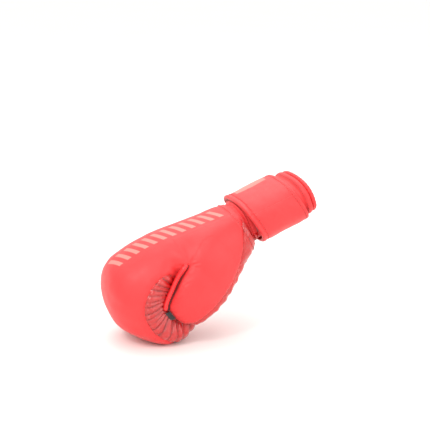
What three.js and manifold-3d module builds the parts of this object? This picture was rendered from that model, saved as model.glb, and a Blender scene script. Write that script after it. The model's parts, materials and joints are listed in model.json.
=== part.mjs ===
// Boxing glove for the right hand, with a hook-and-loop wrist strap. Millimetres, +Z up.
// It stands on the front of its fist with the cuff raised, and the origin is the middle of its
// footprint on the floor. Each piece is modelled in the glove's own axes and the outer group
// tips the whole glove up: x runs from the fist to the cuff, -y is the thumb side and +z is
// the back of the hand. The cuff has its own group, hinged at the wrist.
import * as THREE from "three";
import { mergeVertices } from "three/addons/utils/BufferGeometryUtils.js";
import Module from "manifold-3d";

const wasm = await Module();
wasm.setup();

// ---- driving dimensions ----
const PITCH = 30; // degrees that the cuff is raised
const HAND_LENGTH = 196; // fist front to the rear edge of the hand cover
const COVER = 1.6; // outer leather
const LINING = 1.2;
const GAP = 0.35; // between pieces sewn or glued to each other
const PRESS = 3; // how far the padding gives where it stands on the floor
const CAVITY_START = 58; // fist front to the end of the hand compartment
const FOAM_END = 178; // the padding stops short of the wrist, which has to bend
const KNUCKLE_END = 55; // the dense pad over the knuckles ends here

// Outlines of the hand, as [x, value] points.
const DORSAL = [[0, -5], [3, 17], [8, 31], [17, 44.5], [30, 54], [53, 60], [90, 57.5], [126, 50.5],
  [160, 42], [HAND_LENGTH, 36.5]];
const PALMAR = [[0, -5], [3, -16], [8, -27], [17, -41.5], [27, -54], [39, -63], [54, -68.5], [66, -69], [77, -63.5],
  [86, -51], [95, -40], [112, -34], [140, -30], [168, -25.5], [HAND_LENGTH, -21]];
const WIDE = [[0, 0], [3, 22], [8, 35], [17, 45.5], [35, 54.5], [58, 59], [85, 58], [112, 54.5],
  [140, 49.5], [168, 45], [HAND_LENGTH, 41.5]];
const MIDDLE = [[0, -5], [55, -3], [110, 3], [HAND_LENGTH, 7.8]];

// Outlines of the hand compartment, measured from CAVITY_START.
const CAVITY_LENGTH = HAND_LENGTH - CAVITY_START;
const ROOM_TOP = [[0, 5], [5, 15], [20, 23.5], [50, 29], [90, 32.5], [CAVITY_LENGTH, 33.3]];
const ROOM_BOTTOM = [[0, 5], [5, -6], [20, -14.5], [50, -17.5], [90, -18], [CAVITY_LENGTH, -17.7]];
const ROOM_WIDE = [[0, 0], [5, 23], [20, 36], [50, 42], [90, 41], [CAVITY_LENGTH, 38.2]];
const ROOM_MIDDLE = [[0, 5], [CAVITY_LENGTH, 7.8]];

// Thumb: its line from tip to base, with half height and half thickness at each point.
const THUMB = [
  { at: [60, -45, -20.5], high: 8, thick: 6 },
  { at: [64, -46, -21.5], high: 16, thick: 12 },
  { at: [72, -47, -23], high: 23, thick: 16 },
  { at: [88, -47.5, -20], high: 30.5, thick: 18.5 },
  { at: [112, -46, -14], high: 34, thick: 19.5 },
  { at: [142, -40, -7], high: 33.5, thick: 17.5 },
  { at: [168, -33, -3.5], high: 27, thick: 13 },
  { at: [186, -29, -2], high: 15, thick: 8 },
];
const THUMB_ROOM = 10.5; // radius of the thumb's own compartment
const THUMB_ROOM_LINE = [[84, -49, -20], [100, -49, -17], [116, -46.5, -13], [130, -39, -7], [144, -26, 1]];

// Wrist and cuff.
const WRIST = [203, 0, 7.5]; // where the wrist bends, on a line across the glove
const DROOP = 8; // degrees that the cuff leans to the palm
const CUFF_START = 4.5; // distances from the wrist line, along the cuff
const CUFF_END = 80;
const CUFF_HIGH = 23.2; // half height of the cuff
const CUFF_WIDE = 44; // half width of the cuff
const CUFF_FOAM = 3.6;
const NECK_START = -18;
const NECK_HIGH = 21.8;
const NECK_WIDE = 34.5;
const NECK_WALL = 2;
const RIM = 2.6; // radius of the binding round the cuff's mouth
const SLIT = 7; // width of the cuff's palm slit
const SLIT_START = 16;

// Strap.
const STRAP_START = 6;
const STRAP_WIDTH = 66;
const STRAP_THICK = 3.2;
const PATCH = 1.1; // thickness of the hook and loop patches
const STRAP_OFF = 2 * PATCH + 3 * GAP; // between the cuff and the strap

// ---- helpers ----
const rad = THREE.MathUtils.degToRad;
const SEGMENTS = 24;

// A smooth curve through [x, value] points, read at any x.
function through(points) {
  const slope = points.map((p, i) => {
    const a = points[Math.max(i - 1, 0)];
    const b = points[Math.min(i + 1, points.length - 1)];
    return (b[1] - a[1]) / (b[0] - a[0]);
  });
  return (x) => {
    let i = 0;
    while (i < points.length - 2 && x > points[i + 1][0]) i++;
    const h = points[i + 1][0] - points[i][0];
    const t = (x - points[i][0]) / h;
    const from = points[i][1] * (1 + 2 * t) + h * slope[i] * t;
    const to = points[i + 1][1] * (3 - 2 * t) - h * slope[i + 1] * (1 - t);
    return from * (1 - t) ** 2 + to * t * t;
  };
}

// The same for an outline that starts square to the axis, as the end of a rounded body does.
function blunt(points) {
  const f = through(points.map(([x, v]) => [Math.sqrt(x), v]));
  return (x) => f(Math.sqrt(Math.max(x, 0)));
}

// A skin over loops of points: capped at its ends, open at them, or joined up as a ring.
function loft(loops, ends = "capped") {
  const n = loops[0].length;
  const vertices = loops.flat();
  const faces = [];
  const rows = ends === "ring" ? loops.length : loops.length - 1;
  for (let i = 0; i < rows; i++) {
    for (let j = 0; j < n; j++) {
      const a = i * n + j;
      const b = i * n + ((j + 1) % n);
      const c = ((i + 1) % loops.length) * n + j;
      const d = ((i + 1) % loops.length) * n + ((j + 1) % n);
      faces.push(a, b, d, a, d, c);
    }
  }
  if (ends === "capped") {
    for (const [row, turn] of [[0, 1], [loops.length - 1, 0]]) {
      const centre = new THREE.Vector3();
      loops[row].forEach((p) => centre.addScaledVector(p, 1 / n));
      const at = vertices.push(centre) - 1;
      for (let j = 0; j < n; j++) {
        const a = row * n + j;
        const b = row * n + ((j + 1) % n);
        faces.push(...(turn ? [at, b, a] : [at, a, b]));
      }
    }
  }
  let volume = 0;
  for (let i = 0; i < faces.length; i += 3) {
    const [a, b, c] = [vertices[faces[i]], vertices[faces[i + 1]], vertices[faces[i + 2]]];
    volume += a.dot(new THREE.Vector3().crossVectors(b, c));
  }
  if (volume < 0) faces.reverse();
  const made = new THREE.BufferGeometry().setFromPoints(vertices);
  made.setIndex(faces);
  return made;
}

// The same loops moved outwards by a distance, or inwards by a negative one.
function grow(loops, by) {
  const skin = loft(loops, "open");
  skin.computeVertexNormals();
  const normals = skin.attributes.normal;
  const n = loops[0].length;
  return loops.map((loop, i) => loop.map((p, j) =>
    p.clone().addScaledVector(new THREE.Vector3().fromBufferAttribute(normals, i * n + j), by)));
}

// three.js geometry to a manifold-3d solid, and back.
function solid(geometry) {
  const bare = geometry.clone();
  bare.deleteAttribute("normal");
  bare.deleteAttribute("uv");
  const merged = mergeVertices(bare, 1e-4);
  return new wasm.Manifold(new wasm.Mesh({
    numProp: 3,
    vertProperties: new Float32Array(merged.attributes.position.array),
    triVerts: new Uint32Array(merged.index.array),
  }));
}

// The largest body of a cut solid, without the slivers that the cut leaves.
const largest = (cut) => cut.decompose().sort((a, b) => b.volume() - a.volume())[0];

function geometryOf(manifold) {
  const m = manifold.getMesh();
  const made = new THREE.BufferGeometry();
  made.setAttribute("position", new THREE.BufferAttribute(new Float32Array(m.vertProperties), 3));
  made.setIndex(new THREE.BufferAttribute(new Uint32Array(m.triVerts), 1));
  return made;
}

// A superellipse loop in the plane at x. Squareness 2 is an ellipse, and more is boxier.
function sectionAt(x, half, top, bottom, middle, squareness = 2.35) {
  const loop = [];
  for (let j = 0; j < SEGMENTS; j++) {
    const a = (2 * Math.PI * j) / SEGMENTS;
    const c = Math.cos(a);
    const s = Math.sin(a);
    const y = half * Math.sign(c) * Math.abs(c) ** (2 / squareness);
    const reach = s > 0 ? top - middle : middle - bottom;
    loop.push(new THREE.Vector3(x, y, middle + reach * Math.sign(s) * Math.abs(s) ** (2 / squareness)));
  }
  return loop;
}

// ---- the hand ----
const dorsal = blunt(DORSAL);
const palmar = blunt(PALMAR);
const wide = blunt(WIDE);
const middle = blunt(MIDDLE);
const roomTop = blunt(ROOM_TOP);
const roomBottom = blunt(ROOM_BOTTOM);
const roomWide = blunt(ROOM_WIDE);
const roomMiddle = blunt(ROOM_MIDDLE);

const HAND_STATIONS = [1.2, 5, 11, 20, 31, 44, 57, 68, 78, 87, 98, 120, 145, FOAM_END, HAND_LENGTH];
const ROOM_STATIONS = [1, 4, 10, 20, 38, 70, FOAM_END - CAVITY_START, CAVITY_LENGTH];

// The floor's direction in the glove's axes.
const DOWN = new THREE.Vector3(-Math.sin(rad(PITCH)), 0, -Math.cos(rad(PITCH)));

const HAND = HAND_STATIONS.map((x) => sectionAt(x, wide(x), dorsal(x), palmar(x), middle(x)));
const ROOM = ROOM_STATIONS.map((x) =>
  sectionAt(CAVITY_START + x, roomWide(x), roomTop(x), roomBottom(x), roomMiddle(x)));

// A solid over the same loops, grown by a distance. A cutter runs on past the wrist.
function body(loops, by, past = 0) {
  const grown = grow(loops, by);
  grown[grown.length - 1].forEach((p) => { p.x += past; });
  return solid(loft(grown));
}

// The hand, flattened where the fist stands on the floor.
const reach = Math.max(...HAND.flat().map((p) => p.dot(DOWN))) - PRESS;
const handBody = (by, past = 0) => body(HAND, by, past).trimByPlane(DOWN.clone().negate().toArray(), -reach - by);

const coverBag = handBody(0).subtract(handBody(-COVER, 2));
const foamBag = handBody(-COVER - GAP).trimByPlane([-1, 0, 0], -FOAM_END)
  .subtract(body(ROOM, LINING + GAP));
const liningBag = body(ROOM, LINING).subtract(body(ROOM, 0, 2));
const handGrown = handBody(GAP, 2);

// The thumb side of the hand's outside, at a point seen from the side.
function sideY(x, z) {
  const m = middle(x);
  const reach = z > m ? dorsal(x) - m : m - palmar(x);
  const t = Math.min(Math.abs(z - m) / reach, 1);
  return -wide(x) * (1 - t ** 2.35) ** (1 / 2.35);
}

// ---- thumb ----
const spine = (points) => new THREE.CatmullRomCurve3(points.map((p) => new THREE.Vector3(...p)));

function thumbLoops() {
  const curve = spine(THUMB.map((t) => t.at));
  return THUMB.map((t, i) => {
    const u = i / (THUMB.length - 1);
    const centre = curve.getPoint(u);
    const along = curve.getTangent(u);
    const out = new THREE.Vector3(0, 1, 0).addScaledVector(along, -along.y).normalize();
    const up = new THREE.Vector3().crossVectors(along, out);
    const loop = [];
    const count = 20;
    for (let j = 0; j < count; j++) {
      const a = (2 * Math.PI * j) / count;
      loop.push(centre.clone()
        .addScaledVector(out, t.thick * Math.cos(a))
        .addScaledVector(up, t.high * Math.sin(a)));
    }
    return loop;
  });
}

function tube(points, radius, steps = 16, sides = 10) {
  const section = new THREE.Shape();
  for (let i = 0; i < sides; i++) {
    const a = (2 * Math.PI * i) / sides;
    const to = i ? "lineTo" : "moveTo";
    section[to](radius * Math.cos(a), radius * Math.sin(a));
  }
  return new THREE.ExtrudeGeometry(section, { steps, extrudePath: spine(points), bevelEnabled: false });
}

const thumbSolid = (by) => body(thumbLoops(), by);

// The thumb's compartment, which opens into the hand compartment through the side of the hand.
function thumbRoom(grow) {
  const line = THUMB_ROOM_LINE.map((p) => [...p]);
  line[0][0] -= grow;
  return solid(tube(line, THUMB_ROOM + grow, 12, 14));
}

// ---- trims on the thumb side ----
const PIPING = 3; // radius
const PIPING_LINE = [[108, 21], [100, 18.5], [90, 12.5], [79, 5], [70, 0], [62, -7], [57, -13]];
const pipingPoints = (lift) => PIPING_LINE.map(([x, z]) => [x, sideY(x, z) - lift, z]);
const piping = tube(pipingPoints(PIPING + GAP), PIPING, 20, 10);
const pipingGrown = solid(tube(pipingPoints(PIPING + GAP), PIPING + GAP, 20, 10));

// ---- cutters that part one panel from the next ----
function prism(outline, from, to) {
  const shape = new THREE.Shape(outline.map(([x, z]) => new THREE.Vector2(x, z)));
  const made = new THREE.ExtrudeGeometry(shape, { depth: to - from, bevelEnabled: false, curveSegments: 6 });
  // the shape's plane is made to stand along x and z, and its depth runs along -y
  made.rotateX(Math.PI / 2);
  made.translate(0, to, 0);
  return solid(made);
}

const POCKET = [[98, 21], [90, 25.5], [82, 27], [72, 28], [60, 26], [50, 21.5], [41, 15], [34, 7], [29, -5], [27, -16],
  [29, -28], [33, -41], [41, -53], [54, -66], [72, -70], [92, -64], [92, -40], [86, -10], [92, 6]];
const PALM = [[87, -75], [87, -34], [120, -26], [150, -24], [172, -18], [186, -3], [HAND_LENGTH + 2, 22],
  [HAND_LENGTH + 2, -75]];

// An outline with every edge moved inwards by the same distance.
function inset(outline, by) {
  const points = outline.map(([x, z]) => new THREE.Vector2(x, z));
  const side = THREE.ShapeUtils.isClockWise(points) ? -1 : 1;
  return points.map((p, i) => {
    const before = p.clone().sub(points[(i + points.length - 1) % points.length]).normalize();
    const after = points[(i + 1) % points.length].clone().sub(p).normalize();
    const normal = new THREE.Vector2(-before.y - after.y, before.x + after.x);
    const move = normal.multiplyScalar((side * by) / (1 + before.dot(after)));
    return [p.x + move.x, p.y + move.y];
  });
}
const THUMB_SEAM = [[52, -38], [73, -42], [95, -41], [120, -37], [145, -31], [165, -23], [181, -13], [192, 6],
  [197, -80], [52, -80]];

const palmCut = prism(PALM, -90, 90);
const pocketCut = prism(POCKET, -90, -6).subtract(palmCut);
const seamCut = prism(THUMB_SEAM, -90, 0);

// ---- the hand's pieces ----
const thumbPassage = thumbRoom(LINING + GAP);

const fistCover = largest(coverBag.subtract(palmCut).subtract(pocketCut).subtract(thumbPassage));
const palmPanel = coverBag.intersect(prism(inset(PALM, GAP), -90, 90)).subtract(thumbPassage);
const pocketPanel = coverBag
  .intersect(prism(inset(POCKET, GAP), -90, -6 - GAP).subtract(palmCut)).subtract(thumbPassage);
const knucklePad = foamBag.trimByPlane([-1, 0, 0], GAP - KNUCKLE_END);
const fistFoam = foamBag.trimByPlane([1, 0, 0], KNUCKLE_END).subtract(thumbPassage);
const handLining = liningBag.subtract(thumbPassage);

const thumbShell = thumbSolid(0).subtract(thumbSolid(-COVER)).subtract(handGrown).subtract(pipingGrown);
const thumbCover = largest(thumbShell.subtract(seamCut));
const thumbPanel = thumbShell.intersect(prism(inset(THUMB_SEAM, GAP), -90, 0));
const thumbFoam = thumbSolid(-COVER - GAP).subtract(handGrown).subtract(thumbPassage).subtract(pipingGrown);
const thumbLining = thumbRoom(LINING).subtract(thumbRoom(0))
  .subtract(body(ROOM, LINING + GAP));

// The grip bar lies across the end of the hand compartment, and the curled fingers hold it.
const GRIP = { x: 77, z: -1, radius: 6, half: 34 };
const gripShape = new THREE.CapsuleGeometry(GRIP.radius, 2 * GRIP.half - 2 * GRIP.radius, 3, 12)
  .translate(GRIP.x, 0, GRIP.z);
const gripBar = solid(gripShape).intersect(body(ROOM, -GAP));

// The tie is a tape that holds the tip of the thumb to the fist.
const TIE_THICK = 1.2;
const tie = body(HAND, GAP + TIE_THICK).subtract(handGrown)
  .intersect(prism([[50, -14], [62, -14], [63, -27], [50, -26]], -90, 0))
  .subtract(thumbSolid(GAP)).subtract(pipingGrown);

// ---- the cuff's pieces, in the cuff's own axes ----
const NECK = [[NECK_START, NECK_HIGH, NECK_WIDE], [-8, NECK_HIGH, NECK_WIDE], [0, NECK_HIGH, NECK_WIDE + 1],
  [CUFF_START - GAP, NECK_HIGH, NECK_WIDE + 2]];
const CUFF = [[CUFF_START, 22.8, 42.5], [12, CUFF_HIGH, CUFF_WIDE], [71, CUFF_HIGH, CUFF_WIDE], [76, 25.5, 45.5],
  [CUFF_END, 25.5, 45.5]];

// A sleeve: the profile's loops, with the outside pushed in by one amount and the inside by another.
function sleeve(profile, outset, inset, bend = 0) {
  const loop = (by) => ([x, high, across]) => {
    const mid = Math.min(x, 0) * bend;
    return sectionAt(x, across - by, mid + high - by, mid - high + by, mid, 2.5);
  };
  return solid(loft([...profile.map(loop(outset)), ...profile.map(loop(inset)).reverse()], "ring"));
}

const neckBand = sleeve(NECK, 0, NECK_WALL, Math.tan(rad(DROOP)));
const slit = solid(new THREE.BoxGeometry(CUFF_END, SLIT, 40)
  .translate(SLIT_START + CUFF_END / 2, 0, -CUFF_HIGH));
const FOAM_IN = COVER + GAP;
const LINING_IN = FOAM_IN + CUFF_FOAM + GAP;
const CUFF_WALL = LINING_IN + LINING;
const cuffCover = sleeve(CUFF, 0, COVER).subtract(slit);
const cuffFoam = sleeve(CUFF, FOAM_IN, FOAM_IN + CUFF_FOAM).subtract(slit);
const cuffLining = sleeve(CUFF, LINING_IN, CUFF_WALL).subtract(slit);

// The binding is an oval roll round the cuff's mouth.
function bindingLoops() {
  const last = CUFF[CUFF.length - 1];
  const loops = [];
  const sides = 12;
  for (let i = 0; i < sides; i++) {
    const a = (2 * Math.PI * i) / sides;
    const by = CUFF_WALL / 2 + (CUFF_WALL / 2 + 0.4) * Math.cos(a);
    const x = CUFF_END + GAP + RIM + RIM * Math.sin(a);
    loops.push(sectionAt(x, last[2] - by, last[1] - by, -last[1] + by, 0, 2.5));
  }
  return loops;
}
const binding = solid(loft(bindingLoops(), "ring")).subtract(slit);

// ---- strap ----
// Distances round the cuff are angles of its section, from the little finger's side (0) over the
// back of the hand (90) to the thumb's side (180) and the palm (270).
const ROOT = [222, 292];
const SIDE = [138, 222];
const TIP = [22, 138];
const STRAP_IN = CUFF_HIGH + STRAP_OFF;
const REACH = CUFF_WIDE - CUFF_HIGH;

const ringPoint = (angle, level) => {
  const c = Math.cos(rad(angle));
  const s = Math.sin(rad(angle));
  const across = (level + REACH) * Math.sign(c) * Math.abs(c) ** 0.8;
  return [across, level * Math.sign(s) * Math.abs(s) ** 0.8];
};

// A plate that follows the cuff's section between two angles and two levels.
function wrap([from, to], level, thick, start, width, trim = GAP) {
  const outer = [];
  const inner = [];
  const steps = Math.ceil((to - from) / 7);
  const edge = (trim / level) * 57.3;
  for (let i = 0; i <= steps; i++) {
    const angle = from + edge + ((to - from - 2 * edge) * i) / steps;
    outer.push(ringPoint(angle, level + thick));
    inner.push(ringPoint(angle, level));
  }
  const shape = new THREE.Shape([...outer, ...inner.reverse()].map((p) => new THREE.Vector2(...p)));
  const made = new THREE.ExtrudeGeometry(shape, { depth: width, bevelEnabled: false });
  // the section's plane stands across the cuff, and its depth runs along the cuff
  made.applyMatrix4(new THREE.Matrix4().set(0, 0, 1, start, 1, 0, 0, 0, 0, 1, 0, 0, 0, 0, 0, 1));
  return solid(made);
}

const strapRoot = wrap(ROOT, STRAP_IN, STRAP_THICK, STRAP_START, STRAP_WIDTH);
const strapSide = wrap(SIDE, STRAP_IN, STRAP_THICK, STRAP_START, STRAP_WIDTH);
const strapTip = wrap(TIP, STRAP_IN, STRAP_THICK, STRAP_START, STRAP_WIDTH);
const hookPatch = wrap([30, 122], STRAP_IN - PATCH - GAP, PATCH, STRAP_START + 6, STRAP_WIDTH - 12);
const loopPatch = wrap([26, 128], CUFF_HIGH + GAP, PATCH, STRAP_START + 6, STRAP_WIDTH - 12);
const rootTack = wrap([272, 290], CUFF_HIGH + GAP, STRAP_OFF - 2 * GAP, STRAP_START + 6, STRAP_WIDTH - 12);

// ---- assembly ----
const RED = 0xe0353a;
const DARK_RED = 0xb02a30;
const colours = { leather: RED, gloss: DARK_RED, foam: 0xf0d9c0, cloth: 0x8e1f26, black: 0x202020, grey: 0x9a9a9a };

const hand = new THREE.Group();
const cuff = new THREE.Group();

function add(group, name, body, colour, roughness = 0.6) {
  const mesh = new THREE.Mesh(
    body.isBufferGeometry ? body : geometryOf(body),
    new THREE.MeshStandardMaterial({ color: colours[colour], roughness }),
  );
  mesh.name = name;
  group.add(mesh);
}

add(hand, "fist_cover", fistCover, "leather");
add(hand, "palm_panel", palmPanel, "gloss", 0.25);
add(hand, "pocket_panel", pocketPanel, "gloss", 0.25);
add(hand, "knuckle_pad", knucklePad, "foam");
add(hand, "fist_foam", fistFoam, "foam");
add(hand, "hand_lining", handLining, "cloth");
add(hand, "thumb_cover", thumbCover, "leather");
add(hand, "thumb_palm_panel", thumbPanel, "gloss", 0.25);
add(hand, "thumb_foam", thumbFoam, "foam");
add(hand, "thumb_lining", thumbLining, "cloth");
add(hand, "pocket_piping", solid(piping), "leather");
add(hand, "thumb_tie", tie, "black");
add(hand, "grip_bar", gripBar, "cloth");

add(cuff, "neck_band", neckBand, "leather");
add(cuff, "cuff_cover", cuffCover, "leather");
add(cuff, "cuff_foam", cuffFoam, "foam");
add(cuff, "cuff_lining", cuffLining, "cloth");
add(cuff, "cuff_binding", binding, "leather");
add(cuff, "loop_patch", loopPatch, "cloth");
add(cuff, "strap_tack", rootTack, "leather");
add(cuff, "strap_root", strapRoot, "leather");
add(cuff, "strap_side_panel", strapSide, "leather");
add(cuff, "strap_tip_panel", strapTip, "leather");
add(cuff, "hook_patch", hookPatch, "black");

cuff.rotation.y = rad(DROOP);
cuff.position.set(...WRIST);

const glove = new THREE.Group();
glove.add(hand, cuff);
glove.rotation.y = -rad(PITCH);
glove.updateMatrixWorld(true);

// The origin is put under the middle of the whole glove, at floor height.
const box = new THREE.Box3().setFromObject(glove, true);
const centre = box.getCenter(new THREE.Vector3());
glove.position.set(-centre.x, -centre.y, -box.min.z);

export default glove;
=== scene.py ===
# Boxing glove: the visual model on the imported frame. Shapes are made in millimetres, in the glove's
# own axes (x from fist to cuff, -y the thumb side, +z the back of the hand), then put in the row frame.
import bpy
import json
import numpy as np
from math import cos, pi, radians, sin
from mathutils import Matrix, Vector
from mathutils.kdtree import KDTree


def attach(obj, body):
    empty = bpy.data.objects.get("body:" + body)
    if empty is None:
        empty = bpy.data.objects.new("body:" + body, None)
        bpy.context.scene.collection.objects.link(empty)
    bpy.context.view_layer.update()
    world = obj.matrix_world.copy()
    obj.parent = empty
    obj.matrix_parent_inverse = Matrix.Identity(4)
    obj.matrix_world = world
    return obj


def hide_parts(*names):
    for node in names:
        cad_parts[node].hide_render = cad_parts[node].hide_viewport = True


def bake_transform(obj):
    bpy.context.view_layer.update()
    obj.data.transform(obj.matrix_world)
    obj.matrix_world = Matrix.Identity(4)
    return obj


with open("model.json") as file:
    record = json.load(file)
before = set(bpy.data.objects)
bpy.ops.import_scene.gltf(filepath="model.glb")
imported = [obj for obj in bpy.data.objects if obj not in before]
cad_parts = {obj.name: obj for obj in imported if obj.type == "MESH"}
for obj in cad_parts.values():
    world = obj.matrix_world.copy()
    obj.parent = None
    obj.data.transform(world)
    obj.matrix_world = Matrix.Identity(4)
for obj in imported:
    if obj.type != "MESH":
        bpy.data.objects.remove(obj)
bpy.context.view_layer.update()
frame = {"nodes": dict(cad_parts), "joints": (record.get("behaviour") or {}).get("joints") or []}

# ---- sizes, as in the CAD model ----
PITCH = radians(30)
DROOP = radians(8)
HAND_LENGTH = 196.0
WRIST = np.array([203.0, 0.0, 7.5])
CUFF_START, CUFF_END = 4.5, 80.0
CUFF_HIGH, REACH = 23.2, 20.8
CUFF_WALL = 7.1
STRAP_START, STRAP_WIDTH, STRAP_THICK = 6.0, 66.0, 3.2
STRAP_OFF = 3.25
PATCH, GAP = 1.1, 0.35
# the strap's sewn root and its tip, in degrees round the cuff, and where its two leathers meet
ROOT, TIP, SPLIT = (222, 292), (22, 138), 150

# ---- sizes of this model's own ----
HAND_BOX = (-5, -76, -78), (202, 68, 68)
SPACING = 1.25
HULL_SPACING = 5.0
SWELL_LOW, SWELL_HIGH = -2.0, 3.0
CLOTH_FRAMES = 20
LEATHER = 1.5
CLOTH_THICK = 1.2
HEM_AT = 190.5
MOUTH_LEVEL = 25.3
BINDING_SIDES = 16
STRAP_SKEW = 8.5

JOINTS = {j["name"]: j for j in frame["joints"]}
wrist_row = np.array(JOINTS["wrist_flex"]["pos_m"]) * 1000


def turned(points, angle):
    """Points turned about the wrist line, so that +x rises by the angle, in the row frame in metres."""
    c, s = cos(angle), sin(angle)
    turn = np.array([[c, 0, -s], [0, 1, 0], [s, 0, c]])
    return (np.asarray(points, float) @ turn.T + wrist_row) / 1000


def from_hand(points):
    """Points in the glove's own axes, in the row frame."""
    return turned(np.asarray(points, float) - WRIST, PITCH)


def from_cuff(points):
    """Points in the cuff's axes, which start at the wrist line, in the row frame."""
    return turned(points, PITCH - DROOP)


# ---- numbers ----
def curve(points):
    """A smooth curve through (x, value) points."""
    xs, vs = np.array(points, float).T
    slope = np.gradient(vs, xs)
    slope[1:-1] = (vs[2:] - vs[:-2]) / (xs[2:] - xs[:-2])

    def at(x):
        x = np.clip(x, xs[0], xs[-1])
        i = np.clip(np.searchsorted(xs, x) - 1, 0, len(xs) - 2)
        h = xs[i + 1] - xs[i]
        t = (x - xs[i]) / h
        start = vs[i] * (1 + 2 * t) + h * slope[i] * t
        end = vs[i + 1] * (3 - 2 * t) - h * slope[i + 1] * (1 - t)
        return start * (1 - t) ** 2 + end * t * t
    return at


def smooth(x, low, high):
    """0 below low, 1 above high, and a smooth step between them."""
    t = np.clip((x - low) / (high - low), 0, 1)
    return t * t * (3 - 2 * t)


def bell(d, width):
    """1 where d is 0, falling off over the width."""
    return np.exp(-(d / width) ** 2)


def ripple(p, wavelength, seed, waves=9):
    """Smooth noise from -1 to 1, made of plane waves."""
    rng = np.random.default_rng(seed)
    total = 0
    for _ in range(waves):
        k = rng.normal(size=3)
        k *= 2 * pi / (wavelength * rng.uniform(0.7, 1.5) * np.linalg.norm(k))
        total = total + np.sin(p @ k + rng.uniform(0, 2 * pi))
    return total / waves ** 0.5 / 1.6


# ---- the hand's shape ----
NOSE = 46.0
# the fist: height above and below its middle line, half width, and the middle line's height
above = curve([(0, 62.5), (20, 65), (46, 64.3), (70, 62), (95, 56), (126, 46.5), (160, 36), (180, 30.5),
               (196, 25.5)])
below = curve([(0, 34), (8, 40), (17, 47), (27, 54), (39, 60.5), (54, 65.5), (66, 66.4), (77, 61.6),
               (86, 50), (95, 40.5), (112, 37), (140, 36), (168, 36), (184, 33.5), (196, 27)])
across = curve([(0, 61), (17, 58.5), (35, 57), (58, 59), (85, 58), (112, 54.5), (140, 49.5), (168, 45),
                (196, 41.5)])
middle = curve([(0, -5), (55, -3), (110, 3), (196, 7.8)])
# the thumb: middle height, half height, middle across, half thickness
thumb_z = curve([(60, -20), (72, -23), (88, -20), (112, -14), (142, -7), (168, -3.5), (190, -2)])
thumb_h = curve([(60, 20), (72, 26), (88, 31.5), (112, 35), (142, 34.5), (168, 29), (190, 22)])
thumb_y = curve([(60, -43.5), (72, -46.5), (88, -47.5), (112, -46), (142, -40), (168, -33), (190, -28)])
thumb_t = curve([(60, 15), (72, 17.5), (88, 19), (112, 19.8), (142, 17.5), (168, 13), (190, 9)])
# the edge between the finger pocket and the thumb, as seen from the thumb side
EDGE = np.array([(110, 21.5), (101, 18.5), (91, 13), (79, 5), (70, -1), (63, -7), (58.5, -14),
                 (58.5, -26), (63, -37), (71, -46), (80, -54)], float)
CREVICE = EDGE[:9]
THUMB_TIP = 58.5
FIST_SIZE, THUMB_SIZE = 52, 19


def block(y, z, half, up, down, mid, power):
    """1 on a section with rounded corners, which is squarer in its lower quarter on the thumb side."""
    reach = np.where(z > mid, up, down)
    power = np.where((y < 0) & (z < mid), power + 0.65, power)
    return (np.abs(y / half) ** power + np.abs((z - mid) / reach) ** power) ** (1 / power)


def line_distance(x, z, line):
    """Distance from a line of points, as seen from the thumb side."""
    best = np.full(np.shape(x), 1e9)
    for (ax, az), (bx, bz) in zip(line[:-1], line[1:]):
        dx, dz = bx - ax, bz - az
        t = np.clip(((x - ax) * dx + (z - az) * dz) / (dx * dx + dz * dz), 0, 1)
        best = np.minimum(best, np.hypot(x - ax - t * dx, z - az - t * dz))
    return best


def fist_field(x, y, z):
    """About the distance outside the fist, in mm."""
    rho = block(y, z, across(x), above(x), below(x), middle(x), 2.35)
    ahead = np.clip((NOSE - x) / NOSE, 0, None)
    f = (np.sqrt(rho ** 2 + ahead ** 2) - 1) * FIST_SIZE
    # the pocket's side dives towards the thumb
    d = line_distance(x, z, CREVICE)
    return f + 9.5 * bell(d, 15) * smooth(-y, 12, 32) * (1 - smooth(x, 92, 108)) * smooth(z, -56, -34)


def thumb_field(x, y, z):
    """About the distance outside the thumb, in mm."""
    rho = block(y - thumb_y(x), z, thumb_t(x), thumb_h(x), thumb_h(x), thumb_z(x), 2.2)
    tip = np.clip((92 - x) / (92 - THUMB_TIP), 0, None)
    rear = np.clip((x - 140) / 52, 0, None)
    return (np.sqrt(rho ** 2 + tip ** 2.4 + rear ** 2) - 1) * THUMB_SIZE


def hand_field(x, y, z):
    """The fist and the thumb in one, creased where they meet in front and blended behind."""
    a, b = fist_field(x, y, z), thumb_field(x, y, z)
    k = 1.2 + 17 * smooth(x, 104, 132)
    h = np.clip(0.5 + 0.5 * (b - a) / k, 0, 1)
    return b * (1 - h) + a * h - k * h * (1 - h)


def slope_of(field, p, step=0.4):
    g = np.empty_like(p)
    for axis in range(3):
        d = np.zeros(3)
        d[axis] = step
        g[:, axis] = (field(*(p + d).T) - field(*(p - d).T)) / (2 * step)
    return g


def unit(v):
    return v / np.linalg.norm(v, axis=-1, keepdims=True)


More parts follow.
